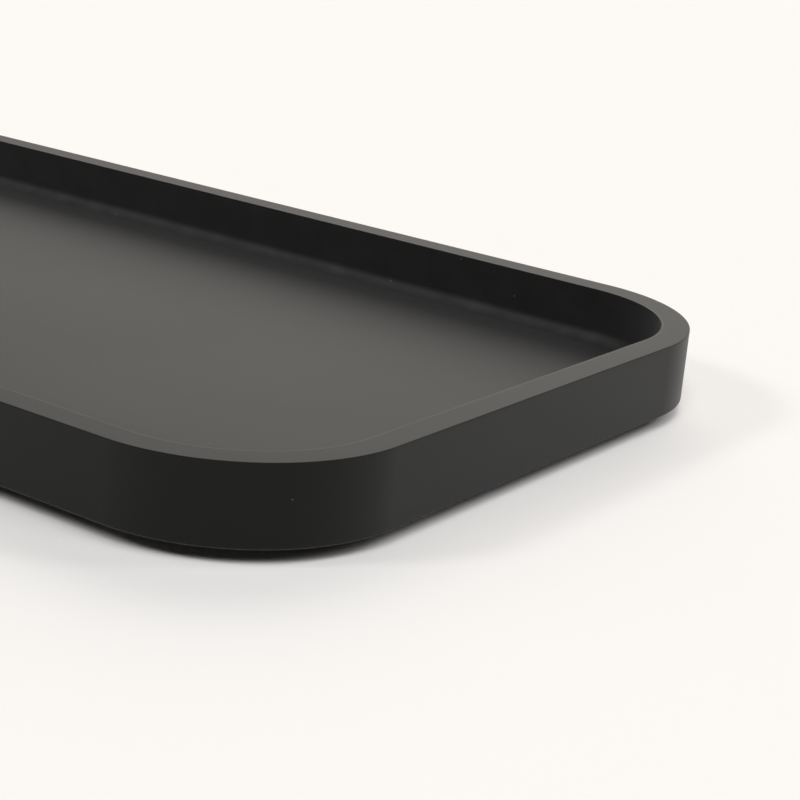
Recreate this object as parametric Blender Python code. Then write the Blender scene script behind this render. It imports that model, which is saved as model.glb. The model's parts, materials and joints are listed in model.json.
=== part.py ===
"""A low rectangular tray with round corners and a flat rim, standing on four round rubber feet.

Metres, +Z up. The origin is the middle of the footprint, on the surface that the tray stands on.
+X runs along the tray's length and +Y across it.
"""

import math

import bmesh
import bpy

# Tray body, a single moulding
TRAY_LENGTH = 0.340
TRAY_WIDTH = 0.170
WALL_HEIGHT = 0.0157  # the outer wall, from its lower arris up to the rim
CORNER_RADIUS = 0.0357  # outside, in plan
RIM_WIDTH = 0.0063
FLOOR_THICKNESS = 0.0033
COVE_RADIUS = 0.0029  # where the inner wall meets the floor
EDGE_ROUND = 0.0002  # on both edges of the rim and on the lower arris

# Round feet, each bonded into a socket in the underside of the body
FOOT_RADIUS = 0.0080
FOOT_PROUD = 0.0032  # how far a foot holds the body above the table
FOOT_EDGE_ROUND = 0.0004
FOOT_FROM_EDGE = 0.0300  # from the tray's edges to a foot's centre, along X and along Y
SOCKET_DEPTH = 0.0012
BOND_GAP = 0.0003  # round and above each foot, filled by the film of adhesive

# How far the cutters of the sockets run past the underside
OVERRUN = 0.0010

# Facets
CORNER_SEGMENTS = 24
COVE_SEGMENTS = 6
ROUND_SEGMENTS = 2
FOOT_SEGMENTS = 32
SHARP_ANGLE = math.radians(40)
SAME_HEIGHT = 1e-6  # two heights closer than this are one

FOOT_HEIGHT = FOOT_PROUD + SOCKET_DEPTH - BOND_GAP
FOOT_PLACES = {
    f"{depth_name}_{side_name}": (
        side * (TRAY_LENGTH / 2 - FOOT_FROM_EDGE),
        depth * (TRAY_WIDTH / 2 - FOOT_FROM_EDGE),
    )
    for depth_name, depth in (("front", -1), ("back", 1))
    for side_name, side in (("left", -1), ("right", 1))
}


def clear_scene():
    for thing in list(bpy.data.objects):
        bpy.data.objects.remove(thing)


def new_collection(name):
    made = bpy.data.collections.new(name)
    bpy.context.scene.collection.children.link(made)
    return made


def new_material(name, colour, roughness):
    """A Principled material with its colour in linear light."""
    made = bpy.data.materials.new(name)
    made.use_nodes = True
    surface = made.node_tree.nodes["Principled BSDF"]
    surface.inputs["Base Color"].default_value = (*colour, 1.0)
    surface.inputs["Roughness"].default_value = roughness
    surface.inputs["Metallic"].default_value = 0.0
    return made


def new_object(name, shape, collection, location, parent=None, material=None):
    """An object that holds the bmesh, smooth but for its sharp edges."""
    mesh = bpy.data.meshes.new(name)
    bmesh.ops.recalc_face_normals(shape, faces=shape.faces)
    shape.to_mesh(mesh)
    shape.free()
    mesh.shade_smooth()
    mesh.set_sharp_from_angle(angle=SHARP_ANGLE)
    if material:
        mesh.materials.append(material)
    made = bpy.data.objects.new(name, mesh)
    made.location = location
    made.parent = parent
    collection.objects.link(made)
    return made


def round_edges(shape, edges, radius, segments):
    """Rounds right-angled edges to the radius."""
    bmesh.ops.bevel(
        shape,
        geom=edges,
        offset=radius,
        offset_type="OFFSET",
        affect="EDGES",
        segments=segments,
        profile=0.5,
        clamp_overlap=True,
    )
    shape.normal_update()


def sharp_edges_at(shape, height):
    """The level edges at this height where two faces meet at a sharp angle."""
    return [
        edge
        for edge in shape.edges
        if all(abs(corner.co.z - height) < SAME_HEIGHT for corner in edge.verts)
        and edge.calc_face_angle() > SHARP_ANGLE
    ]


def rounded_block(length, width, height, corner_radius):
    """A block standing on z = 0, with its four upright edges rounded."""
    shape = bmesh.new()
    bmesh.ops.create_cube(shape, size=1)
    bmesh.ops.scale(shape, vec=(length, width, height), verts=shape.verts)
    bmesh.ops.translate(shape, vec=(0, 0, height / 2), verts=shape.verts)
    upright = [edge for edge in shape.edges if edge.verts[0].co.xy == edge.verts[1].co.xy]
    round_edges(shape, upright, corner_radius, CORNER_SEGMENTS)
    return shape


def sink_top(shape, border, depth):
    """Sinks the top of a block by the depth, all but a border round it."""
    top = next(face for face in shape.faces if round(face.normal.z) == 1)
    bmesh.ops.inset_region(shape, faces=[top], thickness=border, use_even_offset=True)
    region = [top, *top.edges, *top.verts]
    sunk = bmesh.ops.extrude_face_region(shape, geom=region)["geom"]
    corners = [part for part in sunk if isinstance(part, bmesh.types.BMVert)]
    bmesh.ops.translate(shape, vec=(0, 0, -depth), verts=corners)
    shape.normal_update()


def disc(radius, height):
    """An upright round solid standing on z = 0."""
    shape = bmesh.new()
    bmesh.ops.create_cone(
        shape,
        cap_ends=True,
        segments=FOOT_SEGMENTS,
        radius1=radius,
        radius2=radius,
        depth=height,
    )
    bmesh.ops.translate(shape, vec=(0, 0, height / 2), verts=shape.verts)
    return shape


def add_tray_body(collection, cutters, parent):
    """The moulding: a block sunk to leave the walls, with a cove round its floor and a socket for each foot."""
    shape = rounded_block(TRAY_LENGTH, TRAY_WIDTH, WALL_HEIGHT, CORNER_RADIUS)
    sink_top(shape, RIM_WIDTH, WALL_HEIGHT - FLOOR_THICKNESS)
    round_edges(shape, sharp_edges_at(shape, FLOOR_THICKNESS), COVE_RADIUS, COVE_SEGMENTS)
    round_edges(shape, sharp_edges_at(shape, WALL_HEIGHT), EDGE_ROUND, ROUND_SEGMENTS)
    round_edges(shape, sharp_edges_at(shape, 0), EDGE_ROUND, ROUND_SEGMENTS)
    black = new_material("matte_black_plastic", (0.022, 0.021, 0.020), 0.45)
    body = new_object("tray_body", shape, collection, (0, 0, FOOT_PROUD), parent, black)
    for name, (x, y) in FOOT_PLACES.items():
        socket = disc(FOOT_RADIUS + BOND_GAP, SOCKET_DEPTH + OVERRUN)
        cutter = new_object(f"socket_{name}", socket, cutters, (x, y, FOOT_PROUD - OVERRUN), parent)
        cutter.hide_render = True
        cutter.display_type = "WIRE"
    cut = body.modifiers.new("foot_sockets", "BOOLEAN")
    cut.operation = "DIFFERENCE"
    cut.solver = "EXACT"
    cut.operand_type = "COLLECTION"
    cut.collection = cutters


def add_feet(collection, parent):
    """A rubber foot in each socket, standing on the table."""
    rubber = new_material("foot_rubber", (0.030, 0.030, 0.030), 0.80)
    for name, (x, y) in FOOT_PLACES.items():
        shape = disc(FOOT_RADIUS, FOOT_HEIGHT)
        round_edges(shape, sharp_edges_at(shape, 0), FOOT_EDGE_ROUND, ROUND_SEGMENTS)
        new_object(f"foot_{name}", shape, collection, (x, y, 0), parent, rubber)


def main():
    clear_scene()
    tray = new_collection("tray")
    cutters = new_collection("cutters")
    cutters.hide_render = True
    footprint = bpy.data.objects.new("footprint", None)
    tray.objects.link(footprint)
    add_tray_body(tray, cutters, footprint)
    add_feet(tray, footprint)


main()
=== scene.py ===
"""Looks of a low rectangular tray in soft-touch black plastic, on four round rubber feet.

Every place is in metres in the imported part's frame: +X along the tray, +Z up, the table at z = 0.
"""

import json
import math

import bpy
import numpy as np
from mathutils import Matrix, Vector
from mathutils.geometry import tessellate_polygon


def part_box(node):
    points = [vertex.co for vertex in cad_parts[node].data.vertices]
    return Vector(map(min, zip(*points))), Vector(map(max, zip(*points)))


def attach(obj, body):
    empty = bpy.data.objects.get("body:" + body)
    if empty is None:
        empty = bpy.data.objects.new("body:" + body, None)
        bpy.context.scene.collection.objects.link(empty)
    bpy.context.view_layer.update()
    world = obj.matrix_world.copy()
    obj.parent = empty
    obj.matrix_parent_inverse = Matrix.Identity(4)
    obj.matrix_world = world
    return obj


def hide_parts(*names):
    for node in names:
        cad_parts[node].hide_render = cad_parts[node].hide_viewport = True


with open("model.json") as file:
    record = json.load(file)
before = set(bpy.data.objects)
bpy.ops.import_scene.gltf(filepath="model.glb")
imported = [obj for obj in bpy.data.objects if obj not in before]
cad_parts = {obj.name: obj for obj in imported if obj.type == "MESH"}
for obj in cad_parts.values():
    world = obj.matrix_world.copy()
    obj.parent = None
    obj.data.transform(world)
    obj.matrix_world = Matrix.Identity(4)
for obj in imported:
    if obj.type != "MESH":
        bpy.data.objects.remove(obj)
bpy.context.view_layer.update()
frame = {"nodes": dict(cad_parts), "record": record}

MM = 0.001

# Sizes of the body that its box doesn't give
CORNER_RADIUS = 35.7 * MM
RIM_WIDTH = 6.3 * MM
COVE_RADIUS = 2.9 * MM
EDGE_ROUND = 0.2 * MM

# Sockets in the underside and the feet in them
SOCKET_DEPTH = 1.2 * MM
SOCKET_ROUND = 0.15 * MM
BOND_GAP = 0.3 * MM
FOOT_EDGE_ROUND = 0.4 * MM
FOOT_TOP_ROUND = 0.1 * MM
GRIP_LAND = 1.4 * MM
GRIP_PITCH = 1.5 * MM
GRIP_DEPTH = 0.15 * MM
GRIP_RINGS = 4

# How much grey is painted into the black, from 0 to 1: painted highlights along the edges and in the cove,
# painted light on the inner wall
PAINTED_ARRIS_HIGHLIGHT = 0.8
PAINTED_RIM_HIGHLIGHT = 0.45
HIGHLIGHT_BAND_WIDTH = 0.5 * MM
PAINTED_LIGHT_INNER_WALL = 0.10
PAINTED_HIGHLIGHT_COVE = 0.25

# Steps of the grids
QUARTER_STEPS = 56
SIDE_STEP = 6 * MM
EDGE_STEPS = 8
COVE_STEPS = 16
GRIP_STEPS = 10

body_low, body_high = (np.array(corner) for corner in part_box("tray_body"))
TRAY_LENGTH, TRAY_WIDTH = (body_high - body_low)[:2]
UNDERSIDE = body_low[2]
RIM_TOP = body_high[2]
INSIDE_FLOOR = next(m["pos_m"][2] for m in frame["record"]["mounts"] if m["name"] == "tray_floor")
FOOT_NODES = sorted(name for name in frame["nodes"] if name.startswith("foot_"))

# Which way a profile's surface faces, as a slope. IN_BELOW is IN, come to from DOWN.
UP, DOWN, OUT, IN, IN_BELOW = math.pi / 2, -math.pi / 2, 0.0, math.pi, -math.pi


def linear(hex_colour):
    """An sRGB hex colour as linear red, green, blue and alpha."""
    parts = np.array([int(hex_colour[i : i + 2], 16) / 255 for i in (1, 3, 5)])
    light = np.where(parts <= 0.04045, parts / 12.92, ((parts + 0.055) / 1.055) ** 2.4)
    return (*light.tolist(), 1.0)


def rounded_outline(length, width, radius):
    """Spine points and outward normals, once round a rounded rectangle, anticlockwise.

    At a corner the spine stays on the corner's centre while the normal turns a quarter. Along a side the
    spine slides to the next centre and the normal stays. A point of the outline is spine + radius * normal,
    and spine + (radius - d) * normal is the concentric outline at an inset of d.
    """
    half = np.array([length / 2 - radius, width / 2 - radius])
    centres = half * np.array([[1, 1], [-1, 1], [-1, -1], [1, -1]])
    spines, turns = [], []
    for corner, centre in enumerate(centres):
        start = corner * math.pi / 2
        turns.append(start + np.linspace(0, math.pi / 2, QUARTER_STEPS + 1))
        spines.append(np.repeat(centre[None], QUARTER_STEPS + 1, axis=0))
        side = centres[(corner + 1) % 4] - centre
        steps = max(2, round(np.linalg.norm(side) / SIDE_STEP))
        share = np.arange(1, steps)[:, None] / steps
        turns.append(np.full(steps - 1, start + math.pi / 2))
        spines.append(centre + share * side)
    turn = np.concatenate(turns)
    return np.concatenate(spines), np.stack([np.cos(turn), np.sin(turn)], axis=1)


def round_outline(centre):
    """Spine points and outward normals of a circle: the spine is the centre, and the normal turns once."""
    turn = np.linspace(0, 2 * math.pi, 4 * QUARTER_STEPS, endpoint=False)
    spine = np.repeat(np.array([centre]), len(turn), axis=0)
    return spine, np.stack([np.cos(turn), np.sin(turn)], axis=1)


def arc(inset, height, radius, start, end, steps, pale=(0.0, 0.0, 0.0)):
    """Points (inset, height, slope, paleness) of a profile along an arc about (inset, height).

    The slope is the way the surface faces: 0 is outwards, a quarter turn is up. A point lies radius times
    the slope's cosine outwards of the centre and radius times its sine above it, so a radius below zero is
    a cove. The paleness runs straight from the first of its three values to the last, plus the middle value
    times half a sine wave.
    """
    share = np.linspace(0, 1, steps + 1)
    slope = start + (end - start) * share
    shade = pale[0] + (pale[2] - pale[0]) * share + pale[1] * np.sin(math.pi * share)
    return np.stack([inset - radius * np.cos(slope), height + radius * np.sin(slope), slope, shade], axis=1)


def carried(profile, outline, radius):
    """Grid points, surface normals and paleness of a profile carried round an outline.

    The point is spine + (radius - inset) * normal, lifted to the profile's height. The surface normal is
    the outline's normal times the slope's cosine, lifted by the slope's sine, so flats stay flat in the
    light.
    """
    spine, normal = outline
    inset, height, slope, shade = (column[:, None, None] for column in profile.T)
    whole = (len(profile), len(spine), 1)
    level, rise, shade = (np.broadcast_to(column, whole) for column in (height, np.sin(slope), shade))
    points = np.concatenate([spine + (radius - inset) * normal, level], axis=2)
    return points, np.concatenate([np.cos(slope) * normal, rise], axis=2), shade


def numbered(grids):
    """Running vertex numbers for each grid, in the grid's own rows and columns."""
    shapes = [grid[0].shape[:2] for grid in grids]
    counts = [rows * columns for rows, columns in shapes]
    starts = np.concatenate([[0], np.cumsum(counts)[:-1]])
    return [s + np.arange(n).reshape(shape) for s, n, shape in zip(starts, counts, shapes)]


def quads_of(index):
    """Four-cornered faces between neighbouring rows, closed round the columns."""
    ahead = np.roll(index, -1, axis=1)
    return np.stack([index[:-1], ahead[:-1], ahead[1:], index[1:]], axis=2).reshape(-1, 4).tolist()


def pierced_face(points, loops):
    """Triangles facing down that fill the first loop of vertex numbers, save the holes, the other loops."""
    flat = np.concatenate(loops)
    found = np.array(tessellate_polygon([[Vector(point) for point in points[loop]] for loop in loops]))
    a, b, c = (points[flat[found[:, k]], :2] for k in range(3))
    ab, ac = b - a, c - a
    faces_up = ab[:, 0] * ac[:, 1] > ab[:, 1] * ac[:, 0]
    found[faces_up] = found[faces_up, ::-1]
    return flat[found].tolist()


def new_piece(name, grids, faces, material, node):
    """One piece from its grids and faces, shaded by its own normals, in place of its node."""
    points, facing = (np.concatenate([grid[k].reshape(-1, 3) for grid in grids]) for k in (0, 1))
    mesh = bpy.data.meshes.new(name)
    mesh.from_pydata(points, [], faces)
    mesh.shade_smooth()
    mesh.normals_split_custom_set_from_vertices(facing)
    # How much painted light each point has, as a share of grey
    pale = mesh.attributes.new("pale", "FLOAT", "POINT")
    pale.data.foreach_set("value", np.concatenate([grid[2].ravel() for grid in grids]))
    mesh.materials.append(material)
    made = bpy.data.objects.new(name, mesh)
    bpy.context.scene.collection.objects.link(made)
    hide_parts(node)
    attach(made, "root")


def foot_plan(node):
    """Centre and radius of a foot, and its lowest and highest level."""
    low, high = (np.array(corner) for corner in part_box(node))
    return (low + high)[:2] / 2, (high - low)[0] / 2, low[2], high[2]


def add_tray_body(material):
    """The moulding, from the lower arris up the wall, over the rim and down the inner wall into the floor.

    Its underside is flat, with a round socket for each foot.
    """
    inner_edge = RIM_WIDTH - EDGE_ROUND
    cove_centre = (RIM_WIDTH + COVE_RADIUS, INSIDE_FLOOR + COVE_RADIUS)
    # Its fourth column is painted light, as a share of grey: a painted highlight on the lower arris and
    # along the rim's inner edge, painted light down the inner wall, and a painted highlight in the cove
    outer = np.concatenate([
        arc(EDGE_ROUND, UNDERSIDE + EDGE_ROUND, EDGE_ROUND, DOWN, OUT, EDGE_STEPS, (0, PAINTED_ARRIS_HIGHLIGHT, 0)),
        arc(EDGE_ROUND, RIM_TOP - EDGE_ROUND, EDGE_ROUND, OUT, UP, EDGE_STEPS),
        [
            [inner_edge - HIGHLIGHT_BAND_WIDTH, RIM_TOP, UP, 0],
            [inner_edge - HIGHLIGHT_BAND_WIDTH / 2, RIM_TOP, UP, PAINTED_RIM_HIGHLIGHT],
        ],
        arc(inner_edge, RIM_TOP - EDGE_ROUND, EDGE_ROUND, UP, IN, EDGE_STEPS, (0, 0, PAINTED_LIGHT_INNER_WALL)),
        arc(*cove_centre, -COVE_RADIUS, IN, UP, COVE_STEPS, (PAINTED_LIGHT_INNER_WALL, PAINTED_HIGHLIGHT_COVE, 0)),
    ])
    roof = UNDERSIDE + SOCKET_DEPTH
    socket = np.concatenate([
        arc(SOCKET_ROUND, roof - SOCKET_ROUND, -SOCKET_ROUND, DOWN, IN_BELOW, EDGE_STEPS),
        arc(-SOCKET_ROUND, UNDERSIDE + SOCKET_ROUND, SOCKET_ROUND, IN_BELOW, DOWN, EDGE_STEPS),
    ])
    grids = [carried(outer, rounded_outline(TRAY_LENGTH, TRAY_WIDTH, CORNER_RADIUS), CORNER_RADIUS)]
    for node in FOOT_NODES:
        centre, radius, _, _ = foot_plan(node)
        grids.append(carried(socket, round_outline(centre), radius + BOND_GAP))
    indexes = numbered(grids)
    faces = [face for index in indexes for face in quads_of(index)]
    faces.append(indexes[0][-1].tolist())
    faces.extend(index[0, ::-1].tolist() for index in indexes[1:])
    points = np.concatenate([grid[0].reshape(-1, 3) for grid in grids])
    faces.extend(pierced_face(points, [indexes[0][0], *(index[-1] for index in indexes[1:])]))
    new_piece("tray_moulding", grids, faces, material, "tray_body")


def add_foot(node, material):
    """A round foot with concentric grip rings in its underside, whose outer land stands on the table."""
    centre, radius, low, high = foot_plan(node)
    way = np.linspace(0, GRIP_RINGS, GRIP_RINGS * GRIP_STEPS + 1)
    depth = GRIP_DEPTH * (1 - np.cos(2 * math.pi * way)) / 2
    steepness = np.arctan(math.pi * GRIP_DEPTH / GRIP_PITCH * np.sin(2 * math.pi * way))
    inset = GRIP_LAND + GRIP_RINGS * GRIP_PITCH - GRIP_PITCH * way
    profile = np.concatenate([
        np.stack([inset, low + depth, DOWN + steepness, np.zeros(len(way))], axis=1),
        arc(FOOT_EDGE_ROUND, low + FOOT_EDGE_ROUND, FOOT_EDGE_ROUND, DOWN, OUT, EDGE_STEPS),
        arc(FOOT_TOP_ROUND, high - FOOT_TOP_ROUND, FOOT_TOP_ROUND, OUT, UP, EDGE_STEPS),
    ])
    grid = carried(profile, round_outline(centre), radius)
    index = numbered([grid])[0]
    faces = [*quads_of(index), index[0, ::-1].tolist(), index[-1].tolist()]
    new_piece(f"rubber_{node}", [grid], faces, material, node)


def add(tree, kind, inputs=None, **settings):
    """Adds a shader node: settings are its properties, and an input takes a value or a node's output."""
    made = tree.nodes.new("ShaderNode" + kind)
    for name, value in settings.items():
        setattr(made, name, value)
    for name, value in (inputs or {}).items():
        if isinstance(value, bpy.types.NodeSocket):
            tree.links.new(value, made.inputs[name])
        else:
            made.inputs[name].default_value = value
    return made


def new_material(name):
    """A material, and its tree with no nodes yet."""
    made = bpy.data.materials.new(name)
    made.use_nodes = True
    made.node_tree.nodes.clear()
    return made, made.node_tree


# How much rougher the rim has worn
RIM_WEAR = 0.03

# Lint: a speck wherever a point of a loose scatter in space comes this close to the surface
LINT_SPACING = 7 * MM
LINT_RADIUS = 0.22 * MM


def soft_touch_plastic():
    """Moulded plastic under a soft-touch coat: near black, no gloss face on, a dull sheen at a low angle.

    A grey is painted in, unevenly: painted highlights on the lower arris, along the rim's inner edge and in
    the cove, and painted light on the inner wall. A few specks of lint lie on it. Its fine grain, about 0.1
    mm in such a coat, is drawn at 0.5 mm, which is as fine as shows.
    """
    made, tree = new_material("soft_touch_plastic")
    place = add(tree, "TexCoord").outputs["Object"]
    height = add(tree, "SeparateXYZ", {"Vector": place}).outputs["Z"]
    cloud, patch, grain = (
        add(tree, "TexNoise", {"Vector": place, "Scale": 1 / size, "Detail": detail}).outputs["Fac"]
        for size, detail in ((45 * MM, 3.0), (7 * MM, 3.0), (0.5 * MM, 2.0))
    )
    blacks = {"Factor": cloud, "A": linear("#111111"), "B": linear("#141413")}
    black = add(tree, "Mix", blacks, data_type="RGBA").outputs["Result"]
    uneven = add(tree, "MapRange", {"Value": patch, "To Min": 0.3, "To Max": 1.7}).outputs["Result"]
    # Grey mixed in by the pale attribute, patchily: painted highlights on the edges and in the cove,
    # painted light on the inner wall
    pale = add(tree, "Attribute", attribute_name="pale").outputs["Fac"]
    share = add(tree, "Math", {0: pale, 1: uneven}, operation="MULTIPLY").outputs["Value"]
    colours = {"Factor": share, "A": black, "B": linear("#535352")}
    with_painted_light = add(tree, "Mix", colours, data_type="RGBA").outputs["Result"]
    apart = add(tree, "TexVoronoi", {"Vector": place, "Scale": 1 / LINT_SPACING}).outputs["Distance"]
    speck = {"Value": apart, "From Max": LINT_RADIUS / LINT_SPACING, "To Min": 1.0, "To Max": 0.0}
    linty = add(tree, "MapRange", speck).outputs["Result"]
    specked = {"Factor": linty, "A": with_painted_light, "B": linear("#7c7c78")}
    dull = add(tree, "MapRange", {"Value": cloud, "To Min": 0.47, "To Max": 0.51}).outputs["Result"]
    worn = {"Value": height, "From Min": RIM_TOP - EDGE_ROUND, "From Max": RIM_TOP, "To Max": RIM_WEAR}
    wear = add(tree, "MapRange", worn).outputs["Result"]
    bump = add(tree, "Bump", {"Strength": 0.15, "Distance": 0.01 * MM, "Height": grain})
    surface = add(
        tree,
        "BsdfPrincipled",
        {
            "Base Color": add(tree, "Mix", specked, data_type="RGBA").outputs["Result"],
            "Roughness": add(tree, "Math", {0: dull, 1: wear}, operation="ADD").outputs["Value"],
            "Specular IOR Level": 0.105,
            "IOR": 1.5,
            "Sheen Weight": 0.13,
            "Sheen Roughness": 0.5,
            "Normal": bump.outputs["Normal"],
        },
    )
    add(tree, "OutputMaterial", {"Surface": surface.outputs["BSDF"]})
    return made


def non_slip_rubber():
    """Moulded rubber: a dull charcoal with a dusty, uneven bloom."""
    made, tree = new_material("non_slip_rubber")
    place = add(tree, "TexCoord").outputs["Object"]
    bloom = add(tree, "TexNoise", {"Vector": place, "Scale": 1 / (2.5 * MM), "Detail": 4.0}).outputs["Fac"]
    colours = {"Factor": bloom, "A": linear("#1d1d1d"), "B": linear("#2a2a29")}
    bump = add(tree, "Bump", {"Strength": 0.3, "Distance": 0.02 * MM, "Height": bloom})
    surface = add(
        tree,
        "BsdfPrincipled",
        {
            "Base Color": add(tree, "Mix", colours, data_type="RGBA").outputs["Result"],
            "Roughness": 0.85,
            "Specular IOR Level": 0.4,
            "IOR": 1.52,
            "Normal": bump.outputs["Normal"],
        },
    )
    add(tree, "OutputMaterial", {"Surface": surface.outputs["BSDF"]})
    return made


# The table top, which reaches this far from the middle to each side
FLOOR_REACH = 4.0
FLOOR_COLOUR = "#f5f3f1"


def add_stage():
    """A pale table top that runs out of the picture."""
    made, tree = new_material("pale_table_top")
    surface = add(tree, "BsdfDiffuse", {"Color": linear(FLOOR_COLOUR)})
    add(tree, "OutputMaterial", {"Surface": surface.outputs["BSDF"]})
    corners = FLOOR_REACH * np.array([[-1, -1, 0], [1, -1, 0], [1, 1, 0], [-1, 1, 0]])
    mesh = bpy.data.meshes.new("table_top")
    mesh.from_pydata(corners, [], [[0, 1, 2, 3]])
    mesh.materials.append(made)
    table_top = bpy.data.objects.new("table_top", mesh)
    bpy.context.scene.collection.objects.link(table_top)


# The room's own glow, and soft round lights: degrees anticlockwise from +X, degrees up, degrees from the
# middle to half strength, degrees of soft edge to either side of that, strength, colour
ROOM = 0.04
SOFT_LIGHTS = {
    "soft box past the right end": (1.0, 46.8, 11.5, 11.4, 4.3, "#ffffff"),
    "lamp at the back right": (46.4, 36.6, 5.4, 1.0, 12.0, "#ffffff"),
    "lamp at the front left": (233.8, 34.6, 5.0, 2.0, 19.2, "#ffffff"),
    "soft box high in front": (298.4, 53.0, 11.8, 4.7, 9.8, "#ffffff"),
    "pale backdrop": (118.0, 31.0, 25.0, 12.0, 2.26, "#fff9f1"),
    "low glow from the left": (205.0, 2.0, 16.0, 6.0, 0.9, "#ffffff"),
}


def add_lights():
    """A dim room with soft round lights above the table and a pale backdrop behind it, as the world.

    A light is full inside its edge and falls to nothing across it, by the smooth step of the cosine of the
    angle from its middle.
    """
    world = bpy.data.worlds.new("studio")
    world.use_nodes = True
    world.node_tree.nodes.clear()
    tree = world.node_tree
    way = add(tree, "TexCoord").outputs["Generated"]
    level = (ROOM, ROOM, ROOM)
    for azimuth, height, half_width, soft, strength, colour in SOFT_LIGHTS.values():
        turn, lift = math.radians(azimuth), math.radians(height)
        middle = (math.cos(lift) * math.cos(turn), math.cos(lift) * math.sin(turn), math.sin(lift))
        cosine = add(tree, "VectorMath", {0: way, 1: middle}, operation="DOT_PRODUCT").outputs["Value"]
        edge = {
            "Value": cosine,
            "From Min": math.cos(math.radians(half_width + soft)),
            "From Max": math.cos(math.radians(half_width - soft)),
        }
        share = add(tree, "MapRange", edge, interpolation_type="SMOOTHSTEP").outputs["Result"]
        full = tuple(strength * part for part in linear(colour)[:3])
        sum_up = add(tree, "VectorMath", {0: share, 1: full, 2: level}, operation="MULTIPLY_ADD")
        level = sum_up.outputs["Vector"]
    glow = add(tree, "Background", {"Color": level, "Strength": 1.0})
    add(tree, "OutputWorld", {"Surface": glow.outputs["Background"]})
    bpy.context.scene.world = world


# The photograph's view, in tray widths from the near corner of the rim's bounding rectangle
LENS = 90.95
SENSOR = 36.0
VIEW_AZIMUTH = math.radians(34.19)
VIEW_DOWN = math.radians(17.47)
VIEW_ROLL = math.radians(5.22)
EYE_PAST_END = 1.0920
EYE_BEFORE_SIDE = 1.4026
EYE_ABOVE_RIM = 0.6622


def add_camera():
    """The camera at the photograph's place, turned about its own view line by the roll."""
    data = bpy.data.cameras.new("camera")
    data.sensor_width = SENSOR
    data.lens = LENS
    camera = bpy.data.objects.new("camera", data)
    bpy.context.scene.collection.objects.link(camera)
    eye = (
        body_high[0] + EYE_PAST_END * TRAY_WIDTH,
        body_low[1] - EYE_BEFORE_SIDE * TRAY_WIDTH,
        RIM_TOP + EYE_ABOVE_RIM * TRAY_WIDTH,
    )
    turn = Matrix.Rotation(VIEW_AZIMUTH, 4, "Z") @ Matrix.Rotation(math.pi / 2 - VIEW_DOWN, 4, "X")
    camera.matrix_world = Matrix.Translation(eye) @ turn @ Matrix.Rotation(VIEW_ROLL, 4, "Z")
    bpy.context.scene.camera = camera


add_camera()
coat, rubber = soft_touch_plastic(), non_slip_rubber()
add_tray_body(coat)
for foot_node in FOOT_NODES:
    add_foot(foot_node, rubber)
add_stage()
add_lights()
bpy.context.scene.view_settings.view_transform = "Standard"
